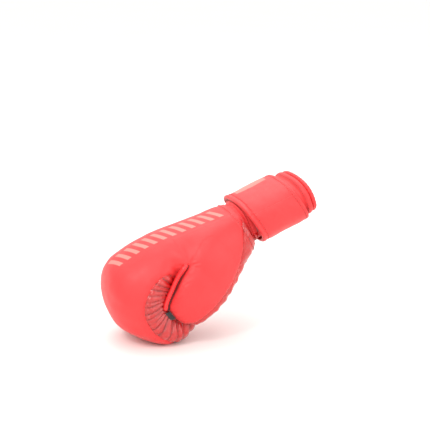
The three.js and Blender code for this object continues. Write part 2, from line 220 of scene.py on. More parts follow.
def surface_net(field, low, high, step):
    """Vertices and outward quads on the surface where the field is zero."""
    axes = [np.arange(a, b, step) for a, b in zip(low, high)]
    f = np.empty([len(a) for a in axes])
    yy, zz = np.meshgrid(axes[1], axes[2], indexing="ij")
    for i, x in enumerate(axes[0]):
        f[i] = field(np.full(yy.shape, x), yy, zz)
    inside = f < 0
    corners = [(i, j, k) for i in (0, 1) for j in (0, 1) for k in (0, 1)]
    n = [s - 1 for s in f.shape]
    count = sum(inside[i:i + n[0], j:j + n[1], k:k + n[2]].astype(int) for i, j, k in corners)
    cells = np.argwhere((count > 0) & (count < 8))
    index = np.full(n, -1)
    index[tuple(cells.T)] = np.arange(len(cells))
    total, hits = np.zeros((len(cells), 3)), np.zeros(len(cells))
    for a in corners:
        for axis in range(3):
            if a[axis]:
                continue
            b = tuple(a[i] + (i == axis) for i in range(3))
            fa, fb = f[tuple((cells + a).T)], f[tuple((cells + b).T)]
            crossed = (fa < 0) != (fb < 0)
            t = np.where(crossed, fa / np.where(crossed, fa - fb, 1), 0)
            point = np.array(a) + t[:, None] * np.eye(3)[axis]
            total += point * crossed[:, None]
            hits += crossed
    verts = np.array(low) + step * (cells + total / hits[:, None])
    quads = []
    for axis in range(3):
        near = inside.take(range(f.shape[axis] - 1), axis)
        far = inside.take(range(1, f.shape[axis]), axis)
        u, v = [i for i in range(3) if i != axis]
        for sign in (True, False):
            e = np.argwhere((near != far) & (near == sign))
            e = e[(e[:, u] > 0) & (e[:, v] > 0) & (e[:, u] < n[u]) & (e[:, v] < n[v])]
            du, dv = np.eye(3, dtype=int)[u], np.eye(3, dtype=int)[v]
            ring = [e, e - du, e - du - dv, e - dv]
            if sign != (axis == 1):
                ring = ring[::-1]
            quads.append(np.stack([index[tuple(r.T)] for r in ring], 1))
    quads = np.concatenate(quads)
    return verts, quads[(quads >= 0).all(1)][:, ::-1]


def settle(verts, field, rounds=3):
    """Vertices moved onto the surface where the field is zero, by small steps."""
    for _ in range(rounds):
        g = slope_of(field, verts)
        move = field(*verts.T)[:, None] * g / np.maximum((g * g).sum(1), 1e-3)[:, None]
        size = np.linalg.norm(move, axis=1, keepdims=True)
        verts = verts - move * np.minimum(1, 0.9 / np.maximum(size, 1e-9))
    return verts


# ---- seams ----
POCKET_AT = np.array([84.0, -10.0])
# the pocket's reach by angle round that point, and the seams' heights on the thumb and round the hand
pocket_reach = curve([(45, 10), (68, 17), (80, 26), (90, 34), (101, 38), (122, 42.5), (148, 48.5),
                      (173, 53.3), (195, 56), (223, 60), (242, 68), (262, 74), (300, 76)])
seam_height = curve([(40, -40), (60, -41), (73, -43), (95, -42), (120, -37.5), (145, -30.5), (164, -20),
                     (178, -6), (189, 12), (198, 25)])
palm_height = curve([(80, -30), (95, -29), (120, -25.5), (150, -20), (175, -9), (198, 6)])


def pocket_angle(x, z):
    return np.degrees(np.arctan2(z - POCKET_AT[1], x - POCKET_AT[0])) % 360


def pocket_seam(p):
    """Distance inside the gathered pocket panel, negative outside it."""
    x, y, z = p.T
    r = np.hypot(x - POCKET_AT[0], z - POCKET_AT[1])
    angle = pocket_angle(x, z)
    side = np.where((angle > 48) & (angle < 300) & (x < 112), pocket_reach(angle) - r, -9)
    front = 46 + 5 * smooth(y, -10, 40)
    under = np.minimum(np.minimum(x - front, 47 - y), -22 - z)
    s = side * (1 - smooth(y, -28, -6)) + under * smooth(y, -28, -6)
    return np.where(z < -24, np.minimum(s, 86 - x), s)


def on_thumb(p):
    """Positive where the thumb is the nearer of the two shapes."""
    return fist_field(*p.T) - thumb_field(*p.T)


def gloss_seam(p):
    """Distance inside the glossy palm panels, negative on the matte leather."""
    x, y, z = p.T
    on = on_thumb(p)
    seam, palm = seam_height(x), palm_height(x)
    thumb = np.minimum(z - seam, thumb_y(x) + 9 - y)
    thumb = np.where(on > -0.5, thumb, np.minimum(thumb, z - palm))
    hand = z - np.where(y < 0, np.maximum(palm, seam - 6), palm)
    near = np.where(x > 168, z - seam, np.where(on > 0, thumb, hand))
    side = smooth(y, -22, -8)
    rear = near * (1 - side) + (z - palm) * side
    # in front, only the thumb has gloss, and the fist stays well away from that seam
    front = np.where(on > 0, thumb, np.maximum(thumb, 14))
    return -np.where(x < 86, front, rear)


# ---- mesh helpers ----
def cut(mesh, s):
    """The negative part and the positive part of a triangle mesh, split where the vertex field s is 0."""
    verts, tris, extra = mesh
    s = np.where(np.abs(s) < 1e-6, 1e-6, s)
    pos = s > 0
    n = pos[tris].sum(1)
    out = []
    for side in (False, True):
        pieces = [tris[n == (3 if side else 0)]]
        new, more, base = [verts], [extra], len(verts)
        for lone_pos in (True, False):
            t = tris[n == (1 if lone_pos else 2)]
            if not len(t):
                continue
            lone = (pos[t] == lone_pos).argmax(1)
            r = np.arange(len(t))
            a, b, c = t[r, lone], t[r, (lone + 1) % 3], t[r, (lone + 2) % 3]
            ids = []
            for p, q in ((a, b), (a, c)):
                w = (s[p] / (s[p] - s[q]))[:, None]
                new.append(verts[p] * (1 - w) + verts[q] * w)
                more.append(extra[p] * (1 - w) + extra[q] * w)
                ids.append(np.arange(len(p)) + base)
                base += len(p)
            ab, ac = ids
            if lone_pos == side:
                pieces.append(np.stack([a, ab, ac], 1))
            else:
                pieces.append(np.stack([ab, b, c], 1))
                pieces.append(np.stack([ab, c, ac], 1))
        out.append(weld(np.concatenate(new), np.concatenate(pieces), np.concatenate(more)))
    return out


def weld(verts, faces, extra):
    """A triangle mesh without unused or doubled vertices and without faces that have no area."""
    used, inverse = np.unique(faces, return_inverse=True)
    v, f, e = verts[used], inverse.reshape(faces.shape), extra[used]
    _, first, same = np.unique(np.round(v, 4), axis=0, return_index=True, return_inverse=True)
    f = same.reshape(-1)[f]
    keep = (f[:, 0] != f[:, 1]) & (f[:, 1] != f[:, 2]) & (f[:, 0] != f[:, 2])
    return v[first], f[keep], e[first]


def parted(mesh):
    """The biggest connected part of a triangle mesh, and all the rest of it."""
    verts, tris, extra = mesh
    label = np.arange(len(verts))
    while True:
        low = label[tris].min(1)
        new = label.copy()
        for i in range(3):
            np.minimum.at(new, tris[:, i], low)
        new = new[new]
        if (new == label).all():
            break
        label = new
    face = label[tris[:, 0]]
    names, counts = np.unique(face, return_counts=True)
    big = face == names[counts.argmax()]
    return weld(verts, tris[big], extra), (verts, tris[~big], extra)


def joined(a, b):
    """Two triangle meshes as one, joined where they touch."""
    if not len(b[1]):
        return a
    tris = np.concatenate([a[1], b[1] + len(a[0])])
    return weld(np.concatenate([a[0], b[0]]), tris, np.concatenate([a[2], b[2]]))


def make(name, verts, faces, material, uv=None):
    """A mesh object from vertices in the row frame, in metres. uv is its flat map, in mm."""
    mesh = bpy.data.meshes.new(name)
    mesh.from_pydata([tuple(v) for v in verts], [], [tuple(int(i) for i in f) for f in faces])
    if uv is not None:
        layer = mesh.uv_layers.new(name="flat")
        loops = np.empty(len(mesh.loops), np.int32)
        mesh.loops.foreach_get("vertex_index", loops)
        layer.data.foreach_set("uv", np.asarray(uv, np.float32)[loops].ravel())
    mesh.validate()
    mesh.polygons.foreach_set("use_smooth", [True] * len(mesh.polygons))
    mesh.materials.append(material)
    obj = bpy.data.objects.new(name, mesh)
    bpy.context.scene.collection.objects.link(obj)
    return obj


def thicken(obj, thickness):
    """Gives an open panel a thickness, inwards, with its own rim."""
    m = obj.modifiers.new("thickness", "SOLIDIFY")
    m.thickness, m.offset, m.use_rim = thickness / 1000, -1, True
    bpy.context.view_layer.objects.active = obj
    bpy.ops.object.modifier_apply(modifier=m.name)


def sheet_quads(nu, nv, wrap=False):
    """The quads of a grid of nu by nv points. wrap joins the second direction up."""
    i, j = np.meshgrid(np.arange(nu - 1), np.arange(nv if wrap else nv - 1), indexing="ij")
    i, j = i.ravel(), j.ravel()
    k = (j + 1) % nv
    return np.stack([i * nv + j, (i + 1) * nv + j, (i + 1) * nv + k, i * nv + k], 1)


def shell(outer, inner, wrap=False):
    """A closed solid between two grids of points of the same size."""
    nu, nv = outer.shape[:2]
    quads = sheet_quads(nu, nv, wrap)
    verts = np.concatenate([outer.reshape(-1, 3), inner.reshape(-1, 3)])
    off = nu * nv
    faces = [quads, quads[:, ::-1] + off]
    js = np.arange(nv if wrap else nv - 1)
    ks = (js + 1) % nv
    for row, flip in ((0, False), (nu - 1, True)):
        q = np.stack([row * nv + js, row * nv + ks, row * nv + ks + off, row * nv + js + off], 1)
        faces.append(q[:, ::-1] if flip else q)
    if not wrap:
        rows = np.arange(nu - 1)
        for col, flip in ((0, True), (nv - 1, False)):
            a, b = rows * nv + col, (rows + 1) * nv + col
            q = np.stack([a, b, b + off, a + off], 1)
            faces.append(q[:, ::-1] if flip else q)
    faces = np.concatenate(faces)
    tri = verts[faces[:, :3]]
    if np.einsum("ij,ij->i", tri[:, 0], np.cross(tri[:, 1], tri[:, 2])).sum() < 0:
        faces = faces[:, ::-1]
    return verts, faces


def tube(path, radius, sides, up=(0, 1, 0)):
    """A closed round cord along a path, with an end point at each end. radius may vary along it."""
    path = np.asarray(path, float)
    radius = np.broadcast_to(radius, len(path))
    along = unit(np.gradient(path, axis=0))
    side = unit(np.cross(along, np.broadcast_to(up, path.shape)))
    top = np.cross(side, along)
    a = np.arange(sides) * 2 * pi / sides
    rings = path[:, None] + radius[:, None, None] * (
        np.cos(a)[None, :, None] * side[:, None] + np.sin(a)[None, :, None] * top[:, None])
    verts = np.concatenate([rings.reshape(-1, 3), path[:1], path[-1:]])
    faces = [tuple(q) for q in sheet_quads(len(path), sides, True)[:, ::-1]]
    start = len(path) * sides
    last = start - sides
    around = [(j, (j + 1) % sides) for j in range(sides)]
    faces += [(start, k, j) for j, k in around]
    faces += [(start + 1, last + j, last + k) for j, k in around]
    return verts, faces


def merged(parts):
    """Several meshes of (vertices, faces) as one."""
    verts, faces, base = [], [], 0
    for v, f in parts:
        verts.append(v)
        faces += [tuple(int(i) + base for i in face) for face in f]
        base += len(v)
    return np.concatenate(verts), faces


def stitches(path, normals, length=2.3, gap=1.3, radius=0.32):
    """A row of sewn stitches along a path on a surface, each a small arched capsule."""
    path = np.asarray(path, float)
    step = np.linalg.norm(np.diff(path, axis=0), axis=1)
    arc = np.concatenate([[0], np.cumsum(step)])
    parts = []
    for start in np.arange(gap, arc[-1] - length, length + gap):
        at = start + length * np.array([0, 0.12, 0.35, 0.65, 0.88, 1])
        pts = np.stack([np.interp(at, arc, path[:, i]) for i in range(3)], 1)
        nrm = np.stack([np.interp(at, arc, normals[:, i]) for i in range(3)], 1)
        lift = np.array([-0.25, 0.1, 0.22, 0.22, 0.1, -0.25])[:, None]
        thick = radius * np.array([0.5, 0.9, 1, 1, 0.9, 0.5])
        parts.append(tube(pts + nrm * lift, thick, 6, nrm))
    return merged(parts)


# ---- materials ----
def linear(r, g, b):
    """A colour from 0-255 screen values."""
    def one(v):
        v /= 255
        return v / 12.92 if v < 0.04045 else ((v + 0.055) / 1.055) ** 2.4
    return one(r), one(g), one(b), 1.0


class Shader:
    """A material built from nodes, with object coordinates in metres."""

    def __init__(self, name, colour, roughness, **sockets):
        self.m = bpy.data.materials.new(name)
        self.m.use_nodes = True
        self.m.diffuse_color = colour
        self.tree = self.m.node_tree
        self.bsdf = self.tree.nodes["Principled BSDF"]
        self.bsdf.inputs["Base Color"].default_value = colour
        self.bsdf.inputs["Roughness"].default_value = roughness
        for key, value in sockets.items():
            self.bsdf.inputs[key.replace("_", " ").title().replace("Ior", "IOR")].default_value = value
        self.where = self.node("ShaderNodeTexCoord").outputs["Object"]

    def node(self, kind, **values):
        n = self.tree.nodes.new(kind)
        for key, value in values.items():
            setattr(n, key, value)
        return n

    def link(self, a, b):
        self.tree.links.new(a, b)

    def math(self, op, a, b=0.0, c=0.0):
        n = self.node("ShaderNodeMath", operation=op)
        for i, v in enumerate((a, b, c)):
            if isinstance(v, (int, float)):
                n.inputs[i].default_value = v
            else:
                self.link(v, n.inputs[i])
        return n.outputs[0]

    def noise(self, scale, detail=3, rough=0.55, where=None):
        n = self.node("ShaderNodeTexNoise")
        n.inputs["Scale"].default_value = scale
        n.inputs["Detail"].default_value = detail
        n.inputs["Roughness"].default_value = rough
        self.link(where or self.where, n.inputs["Vector"])
        return n.outputs["Fac"]

    def cells(self, scale, feature="F1"):
        n = self.node("ShaderNodeTexVoronoi", feature=feature)
        n.inputs["Scale"].default_value = scale
        self.link(self.where, n.inputs["Vector"])
        return n.outputs["Distance"]

    def mix(self, fac, a, b):
        n = self.node("ShaderNodeMix", data_type="RGBA")
        self.link(fac, n.inputs["Factor"])
        for socket, v in ((n.inputs["A"], a), (n.inputs["B"], b)):
            if isinstance(v, tuple):
                socket.default_value = v
            else:
                self.link(v, socket)
        return n.outputs["Result"]

    def ramp(self, value, low, high, a=0.0, b=1.0):
        n = self.node("ShaderNodeMapRange")
        self.link(value, n.inputs["Value"])
        for key, v in (("From Min", low), ("From Max", high), ("To Min", a), ("To Max", b)):
            n.inputs[key].default_value = v
        return n.outputs["Result"]

    def finish(self, colour=None, height=None, depth=0.0002, roughness=None, strength=0.6):
        if colour is not None:
            self.link(colour, self.bsdf.inputs["Base Color"])
        if roughness is not None:
            self.link(roughness, self.bsdf.inputs["Roughness"])
        if height is not None:
            bump = self.node("ShaderNodeBump")
            bump.inputs["Distance"].default_value = depth
            bump.inputs["Strength"].default_value = strength
            self.link(height, bump.inputs["Height"])
            self.link(bump.outputs["Normal"], self.bsdf.inputs["Normal"])
        return self.m


RED = linear(222, 46, 48)
RED_DARK = linear(196, 28, 32)
GLOSS = linear(192, 14, 14)
GLOSS_DARK = linear(150, 8, 12)
SILVER = linear(196, 122, 112)


def leather(name, light, dark, roughness, bars=None, creased=False, **sockets):
    """Grained leather, with a row of bars, or bumped creases that follow the flat map of the pleats,
    darkened in their low parts by painted shade.
    """
    s = Shader(name, light, roughness, **sockets)
    grain = s.math("ADD", s.math("MULTIPLY", s.cells(900, "SMOOTH_F1"), 0.7), s.noise(2600, 2))
    blotch = s.ramp(s.noise(22, 4), 0.35, 0.68)
    colour = s.mix(s.math("MULTIPLY", blotch, 0.45), light, dark)
    pores = s.ramp(s.noise(1500, 3), 0.28, 0.45, 1.0, 0.0)
    colour = s.mix(s.math("MULTIPLY", pores, 0.25), colour, dark)
    rough = s.math("ADD", s.math("MULTIPLY", s.noise(60, 3), 0.18), roughness - 0.09)
    if bars:
        colour = s.mix(bars(s), colour, SILVER)
    if not creased:
        return s.finish(colour, grain, 0.00012, rough, 0.5)
    x, y = uv_of(s)
    lane = s.node("ShaderNodeCombineXYZ")
    s.link(s.math("MULTIPLY", x, 0.3), lane.inputs["X"])
    crease = s.noise(1.0, 3, 0.6, lane.outputs[0])
    # painted shade: the colour turns deep red where the pleats' height in the flat map is low, in the
    # creases
    colour = s.mix(s.math("MULTIPLY", s.ramp(y, -1.5, -7.0), 0.8), colour, linear(112, 4, 4))
    return s.finish(colour, crease, 0.003, rough, 0.8)


def uv_of(s):
    """The two coordinates of a piece's flat map."""
    n = s.node("ShaderNodeUVMap", uv_map="flat")
    split = s.node("ShaderNodeSeparateXYZ")
    s.link(n.outputs["UV"], split.inputs[0])
    return split.outputs["X"], split.outputs["Y"]


def band(s, value, low, high, soft=0.12):
    """1 between low and high, with soft edges."""
    up = s.ramp(value, low - soft, low + soft)
    down = s.ramp(value, high - soft, high + soft, 1.0, 0.0)
    return s.math("MULTIPLY", up, down)


def slanted_bars(low, high, y_low, y_high, pitch, width, lean):
    """A row of plain slanted bars, in the flat map's millimetres."""
    def made(s):
        x, y = uv_of(s)
        shifted = s.math("ADD", x, s.math("MULTIPLY", y, lean))
        step = s.math("MODULO", s.math("ADD", shifted, 1000.0 * pitch - low), pitch)
        bar = band(s, step, 0.4, width)
        worn = s.ramp(s.noise(700, 4), 0.30, 0.42, 0.72, 1.0)
        inside = s.math("MULTIPLY", band(s, y, y_low, y_high), band(s, shifted, low, high))
        return s.math("MULTIPLY", s.math("MULTIPLY", bar, inside), worn)
    return made


def woven(name, light, dark, pitch):
    """Woven cloth or tape with a little fuzz. pitch is the weave's, in metres."""
    s = Shader(name, light, 0.85, sheen_weight=0.3)
    scale = 2 * pi / pitch
    split = s.node("ShaderNodeSeparateXYZ")
    s.link(s.where, split.inputs[0])
    x = s.math("ADD", split.outputs["X"], s.math("MULTIPLY", split.outputs["Z"], 0.6))
    y = s.math("ADD", split.outputs["Y"], s.math("MULTIPLY", split.outputs["Z"], 0.8))
    a = s.math("SINE", s.math("MULTIPLY", x, scale))
    b = s.math("SINE", s.math("MULTIPLY", y, scale))
    weave = s.math("MULTIPLY", a, b)
    fuzz = s.noise(1800, 4)
    colour = s.mix(s.ramp(weave, -1, 1, 0.1, 0.9), dark, light)
    colour = s.mix(s.math("MULTIPLY", fuzz, 0.35), colour, dark)
    return s.finish(colour, s.math("ADD", weave, fuzz), 0.00015, None, 0.6)


MATTE = leather("matte_leather", RED, RED_DARK, 0.52, sheen_weight=0.08)
MATTE_HAND = leather("matte_leather_marked", RED, RED_DARK, 0.52,
                     slanted_bars(34, 182, -20, 6, 12.3, 6.2, 0.35), sheen_weight=0.08)
MATTE_STRAP = leather("strap_leather", RED, RED_DARK, 0.5,
                      slanted_bars(11, 54, 9, 33, 60, 56, 0.0), sheen_weight=0.08)
PATENT = leather("patent_leather", GLOSS, GLOSS_DARK, 0.24, coat_weight=0.6, coat_roughness=0.12)
# the gathered pocket's creases are bumped, and darkened by painted shade
GATHERED = leather("gathered_patent_leather", GLOSS, GLOSS_DARK, 0.3, creased=True,
                   coat_weight=0.8, coat_roughness=0.08)
PIPING = leather("piping_leather", linear(228, 30, 34), RED_DARK, 0.4, coat_weight=0.2, coat_roughness=0.3)
THREAD = woven("thread", linear(190, 30, 34), linear(120, 14, 18), 0.0006)
TAPE = woven("black_tape", linear(46, 44, 42), linear(14, 14, 15), 0.0014)
CLOTH = woven("lining_cloth", linear(150, 26, 32), linear(88, 12, 18), 0.0016)
LOOP = woven("loop_pile", linear(52, 50, 50), linear(16, 16, 17), 0.0011)


# ---- the padded hand ----
def pleats(p):
    """Height of the gathered folds round the pocket, below 0 in the creases."""
    angle = pocket_angle(p[:, 0], p[:, 2]) + 2.2 * ripple(p, 30, 5)
    rng = np.random.default_rng(8)
    folds = 50 + np.cumsum(rng.uniform(6.5, 17.0, 32))
    k = np.clip(np.searchsorted(folds, angle), 1, len(folds) - 1)
    t = np.clip((angle - folds[k - 1]) / (folds[k] - folds[k - 1]), 0, 1)
    height, lap = rng.uniform(0.6, 1.3, 33)[k], rng.uniform(0.1, 1.0, 33)[k]
    return (np.sin(pi * t) ** 0.6 - 0.7) * height + 0.7 * lap * (t - 0.5)


def hand_detail(p):
    """How far the padded surface stands out from its plain form."""
    x, y, z = p.T
    inside = pocket_seam(p)
    gloss = gloss_seam(p)
    thumb_side = on_thumb(p)
    out = 0.5 * ripple(p, 46, 1) + 0.22 * ripple(p, 17, 2)
    # pleats, gathered towards the thumb
    fold = pleats(p)
    in_pocket = smooth(inside, -1.0, 2.5) * smooth(-thumb_side, -1.0, 2.0)
    depth = 2.7 + 1.5 * bell(line_distance(x, z, EDGE), 16)
    out += in_pocket * fold * depth
    # puckers that run on past the gathered seam
    beyond = (inside < 0) * (thumb_side < 0)
    out += (1 - smooth(-inside, 0, 9)) * (1 - in_pocket) * fold * 0.8 * beyond
    near_seam = np.minimum(np.abs(inside) + 9 * (thumb_side > 1), np.abs(gloss))
    out -= 1.25 * bell(near_seam, 1.7)
    crevice = line_distance(x, z, CREVICE)
    out -= 3.2 * bell(crevice, 1.5) * (y < -20) * smooth(112 - x, 0, 6)
    out += 0.55 * bell(near_seam - 6, 4.5)
    # small waves along the seams and the crevice, drawn in by the thread
    along = x * 1.05 + z * 0.3
    out += 0.25 * bell(np.abs(gloss) - 2.5, 4) * np.sin(2 * pi * along / 9.5 + 3 * ripple(p, 20, 6))
    # the soft palm panel wrinkles along its outer side
    soft = smooth(gloss, 1.5, 5)
    out += soft * (0.5 * np.sin(2 * pi * along / 16 + 3 * ripple(p, 30, 7)) * bell(gloss - 6, 9)
                   + 0.35 * ripple(p, 15, 9))
    drawn = np.sin(2 * pi * z / 6.5 + 3 * ripple(p, 14, 10))
    out += 0.4 * bell(crevice - 5, 4) * drawn * (thumb_side > 0.5)
    # tucks where the pocket's edge ends, each a direction in degrees and a depth
    dx, dz = x - 109, z - 21
    reach = np.hypot(dx, dz)
    turn = np.degrees(np.arctan2(dz, dx))
    for at, size in ((-40, 0.6), (-12, 0.8), (28, 1.1), (152, 1.2), (112, 0.5)):
        out -= size * bell(turn - at, 6) * smooth(reach, 1, 5) * (1 - smooth(reach, 6, 17)) * (y < -20)
    # the hem at the wrist, drawn in to the neck
    out -= 1.0 * smooth(x, 189, 196)
    out -= 0.8 * bell(x - 188, 1.2)
    return out


def swelling(points):
    """How far the leather swells between its seams, in mm, from a short cloth run on a coarse hand."""
    verts, quads = surface_net(hand_field, *HAND_BOX, HULL_SPACING)
    verts = settle(verts, hand_field)
    seams = np.minimum(np.abs(pocket_seam(verts)), np.abs(gloss_seam(verts)))
    crevice = line_distance(verts[:, 0], verts[:, 2], EDGE) + 20 * (verts[:, 1] > -20)
    held = np.maximum(bell(np.minimum(seams, crevice), 5), smooth(verts[:, 0], 178, 190))
    hull = make("swelling_hull", verts / 1000, quads, CLOTH)
    group = hull.vertex_groups.new(name="held")
    for i, weight in enumerate(held):
        group.add([i], float(weight), "REPLACE")
    cloth = hull.modifiers.new("cloth", "CLOTH")
    settings = cloth.settings
    settings.quality, settings.mass = 6, 0.1
    settings.tension_stiffness = settings.compression_stiffness = settings.shear_stiffness = 8
    settings.bending_stiffness = 0.5
    settings.use_pressure, settings.uniform_pressure_force = True, 12
    settings.vertex_group_mass = "held"
    settings.effector_weights.gravity = 0
    scene = bpy.context.scene
    for step in range(1, CLOTH_FRAMES + 1):
        scene.frame_set(step)
    posed = hull.evaluated_get(bpy.context.evaluated_depsgraph_get())
    after = np.array([v.co for v in posed.data.vertices]) * 1000
    scene.frame_set(1)
    bpy.data.objects.remove(hull)
    outward = unit(slope_of(hand_field, verts))
    swell = np.clip(((after - verts) * outward).sum(1), SWELL_LOW, SWELL_HIGH)
    # carried over to the fine mesh from the nearest points
    tree = KDTree(len(verts))
    for i, v in enumerate(verts):
        tree.insert(v, i)
    tree.balance()
    out = np.empty(len(points))
    for i, p in enumerate(points):
        near = tree.find_n(p, 6)
        weight = np.array([1 / (d * d + 4.0) for _, _, d in near])
        out[i] = (weight * swell[[j for _, j, _ in near]]).sum() / weight.sum()
    return out - 0.5 * swell.mean()


FLOOR_NORMAL = np.array([-sin(PITCH), 0, -cos(PITCH)])
plain, quads = surface_net(hand_field, *HAND_BOX, SPACING)
plain = settle(plain, hand_field)
normal = unit(slope_of(hand_field, plain))
standing = hand_detail(plain)
standing = standing + swelling(plain)
verts = plain + normal * standing[:, None]
# flattened where it stands
under = np.minimum(from_hand(verts)[:, 2], 0)
verts = verts + FLOOR_NORMAL * (1000 * under)[:, None]
# cut along the seams, which are found on the plain form. A scrap goes to the piece beside it.
tris = np.concatenate([quads[:, [0, 1, 2]], quads[:, [0, 2, 3]]])
whole = verts, tris, plain
whole = cut(whole, whole[2][:, 0] - HAND_LENGTH)[0]
rest, pocket = cut(whole, np.minimum(pocket_seam(whole[2]), -on_thumb(whole[2])))
pocket, loose = parted(pocket)
rest = joined(rest, loose)
cover, palm = cut(rest, gloss_seam(rest[2]))
(cover, loose_cover), (palm, loose_palm) = parted(cover), parted(palm)
cover, palm = joined(cover, loose_palm), joined(palm, loose_cover)
for name, (v, t, e), material in (("hand", cover, MATTE_HAND), ("pocket", pocket, GATHERED),
                                  ("palm", palm, PATENT)):
    # the flat map: the view from above, drawn out down the sides, or the pleats' angle and height
    flat = np.stack([e[:, 0] - 10 * np.maximum(0, 20 - e[:, 2]), e[:, 1]], 1)
    if material is GATHERED:
        # the pleats' height in this map also sets the painted shade in their creases
        flat = np.stack([pocket_angle(e[:, 0], e[:, 2]), 10 * pleats(e)], 1)
    obj = make(name + "_leather", from_hand(v), t, material, flat)
    thicken(obj, LEATHER)
    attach(obj, "hand")
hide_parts("fist_cover", "thumb_cover", "fist_foam", "knuckle_pad", "thumb_foam")
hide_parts("pocket_panel")
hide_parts("palm_panel", "thumb_palm_panel")


def on_side(xz):
    """Points on the hand's surface where it is met from the thumb side."""
    out = []
    for x, z in xz:
        ys = np.linspace(-80, 0, 321)
        f = hand_field(np.full(ys.shape, x), ys, np.full(ys.shape, z))
        i = int(np.argmax(f < 0))
        y = ys[i - 1] + (ys[i] - ys[i - 1]) * f[i - 1] / (f[i - 1] - f[i])
        out.append((x, y, z))
    return np.array(out)


def resampled(points, count):
    """Points evenly spaced along a smooth line through the points."""
    points = np.asarray(points, float)
    t = np.concatenate([[0], np.cumsum(np.linalg.norm(np.diff(points, axis=0), axis=1))])
    u = np.linspace(0, t[-1], count)
    return np.stack([curve(list(zip(t, points[:, i])))(u) for i in range(points.shape[1])], 1)


def on_hand(name, mesh, material, node):
    """A piece of the hand from (vertices, faces) in the glove's axes. node is the CAD node it replaces."""
    obj = make(name, from_hand(mesh[0]), mesh[1], material)
    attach(obj, "hand")
    if node:
        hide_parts(node)


# rolled edge of the pocket, tucked in at its top, and a black tape cord in the crease behind it, which
# also serves as painted shade for that crevice
COUNT = 60
steps = np.linspace(0, 1, COUNT)
line = on_side(resampled(EDGE[:7], COUNT))
line[:, 1] = np.polyval(np.polyfit(steps, line[:, 1], 3), steps)
tuck = np.array([1.5, 4.5, 0]) * (1 - smooth(steps, 0, 0.13))[:, None]
line = line + np.array([-2.2, -2.4, 1.9]) + tuck
number = np.arange(COUNT)
thick = 3.0 * np.minimum(1, 0.35 + np.minimum(number, number[::-1]) / 3.5) + 0.08 * np.sin(number * 1.3)
# painted shade: this black cord darkens the crevice between the piping and the thumb
on_hand("crevice_shade_tape", tube((line + np.array([3.4, 1.2, -1.6]))[3:], 1.5, 10), TAPE, None)
on_hand("piping_roll", tube(line, thick, 18), PIPING, "pocket_piping")

# tape that ties the thumb to the fist
a = np.linspace(0, 1, 26)
start, end = on_side([(55, -20)])[0], on_side([(61, -21)])[0]
arch = np.array([0, -1, 0]) * (2.2 * np.sin(pi * a) ** 0.6 + 0.6)[:, None]
width = np.linspace(-5.8, 5.8, 12)
lane = start + (end - start) * a[:, None] + arch
lane = lane[:, None] + width[None, :, None] * np.array([-0.12, 0, 1.0])
on_hand("tie_tape", shell(lane + [0, -0.7, 0], lane + [0, 0.7, 0]), TAPE, "thumb_tie")

# lining of the hand, closed at the fingertips
depth_in = curve([(64, 22), (120, 19), (150, 13), (180, 6), (194.5, 3.0)])
xs = np.linspace(64, 194.5, 60)
turn = np.linspace(0, 2 * pi, 97)[:-1]


def lining_grid(extra):
    """Grid of points on the lining's face, and the extra further in."""
    x, a = np.meshgrid(xs, turn, indexing="ij")
    end = np.sqrt(np.clip(1 - ((82 - x) / 18.5).clip(0, 1) ** 2, 0.01, 1))
    c, sn = np.cos(a), np.sin(a)
    cc, ss = np.sign(c) * np.abs(c) ** 0.85, np.sign(sn) * np.abs(sn) ** 0.85
    inset = depth_in(x) + extra
    y = cc * (across(x) - inset) * end
    z = middle(x) + ss * (np.where(sn > 0, above(x), below(x)) - inset) * end
    grid = np.stack([x, y, z], -1)
    wave = 0.5 * ripple(grid.reshape(-1, 3), 18, 61).reshape(x.shape) * smooth(190 - x, 0, 20)
    return grid + np.stack([0 * x, cc * wave, ss * wave], -1)


on_hand("hand_cloth", shell(lining_grid(0), lining_grid(CLOTH_THICK), True), CLOTH, "hand_lining")

# sewn hem round the wrist opening of the hand
COUNT = 160
turn = np.linspace(0, 2 * pi, COUNT)
outward = np.stack([np.zeros(COUNT), np.cos(turn), np.sin(turn)], 1)
low, high = np.full(COUNT, 5.0), np.full(COUNT, 70.0)
for _ in range(24):
    half = (low + high) / 2
    point = np.array([HEM_AT, 0, middle(HEM_AT)]) + outward * half[:, None]
    within = hand_field(*point.T) < 0
    low, high = np.where(within, half, low), np.where(within, high, half)
facing = unit(slope_of(hand_field, point))
on_hand("hand_hem_thread", stitches(point + facing * (hand_detail(point)[:, None] + 0.1), facing), THREAD,
        None)


# ---- cuff and strap ----
def ring(angle, level):
    """A point of the cuff's section: (across, up) at an angle and a level."""
    c, s = np.cos(np.radians(angle)), np.sin(np.radians(angle))
    return ((level + REACH) * np.sign(c) * np.abs(c) ** 0.8, level * np.sign(s) * np.abs(s) ** 0.8)


def section_angles(start, end, count):
    """Angles evenly spaced along the section's outline."""
    fine = np.linspace(start, end, 600)
    y, z = ring(fine, CUFF_HIGH)
    arc = np.concatenate([[0], np.cumsum(np.hypot(np.diff(y), np.diff(z)))])
    return np.interp(np.linspace(0, arc[-1], count), arc, fine)


def sleeve(s, angles, level):
    """Grid of points in the cuff's axes: rows along s, columns round the section."""
    ss, aa = np.meshgrid(s, angles, indexing="ij")
    y, z = ring(aa, level)
    return np.stack([ss, y, z], -1)


def rippled(grid, wavelength, seed):
    """Smooth noise from -1 to 1 at each point of a grid."""
    return ripple(grid.reshape(-1, 3), wavelength, seed).reshape(grid.shape[:2])


cuff_level = curve([(CUFF_START, 22.8), (12, CUFF_HIGH), (70, CUFF_HIGH), (75, 25.2),
                    (CUFF_END, MOUTH_LEVEL)])
SLIT_HALF = 2.4
SLIT_SPAN = 270 + SLIT_HALF, 630 - SLIT_HALF
turn_all = section_angles(*SLIT_SPAN, 190)


def cuff_piece(name, s, outer, inner, material, nodes):
    """A sleeve with a slit, between two levels."""
    v, f = shell(sleeve(s, turn_all, outer), sleeve(s, turn_all, inner))
    obj = make(name, from_cuff(v), f, material)
    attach(obj, "cuff")
    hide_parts(*nodes)
    return obj


